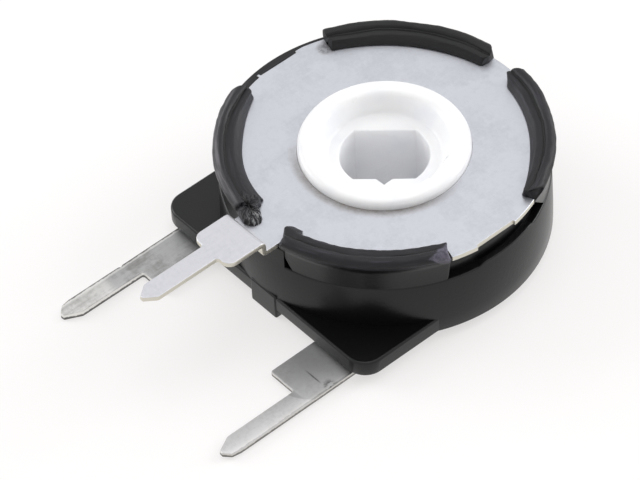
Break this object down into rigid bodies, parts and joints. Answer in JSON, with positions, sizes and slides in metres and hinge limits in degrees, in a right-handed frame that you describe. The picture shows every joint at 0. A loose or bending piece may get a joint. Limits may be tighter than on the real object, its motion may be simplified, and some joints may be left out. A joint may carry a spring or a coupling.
{
  "type": "trimmer potentiometer",
  "caption": "Round trimmer potentiometer with a black crimped housing, metal cover plate, white slotted rotor and three flat pins.",
  "frame": {"origin": "on the rotor axis at the back plane, which the housing's back plateau and the outer terminals' undersides share", "axes": "+Z along the rotor axis towards the adjusting side; -Y the way the three terminals point; +X to the right-hand terminal"},
  "size_m": [0.015, 0.0221, 0.0055],
  "materials": {
    "housing_plastic": "semi-gloss black moulded plastic",
    "phenolic_board": "brown phenolic paper board",
    "carbon_film": "matt printed carbon",
    "silver_film": "printed silver",
    "tinned_sheet": "brass sheet with a slightly blotchy tin coat",
    "rivet_metal": "tinned",
    "rotor_plastic": "glossy white moulded plastic",
    "spring_metal": "sprung bronze strip",
    "plated_sheet": "satin plated sheet with a faint rolled grain"
  },
  "bodies": {
    "base": {"housing": "housing_plastic", "element_board": "phenolic_board", "carbon_track": "carbon_film", "left_end_pad": "silver_film", "right_end_pad": "silver_film", "left_terminal": "tinned_sheet", "right_terminal": "tinned_sheet", "left_rivet": "rivet_metal", "right_rivet": "rivet_metal", "cover_plate": "plated_sheet"},
    "rotor": {"rotor": "rotor_plastic", "wiper": "spring_metal"}
  },
  "joints": [
    {"name": "rotor_turn", "type": "hinge", "parent": "base", "child": "rotor", "pos_m": [0, 0, 0.0025], "axis": [0, 0, 1], "range_deg": [0, 265]}
  ]
}
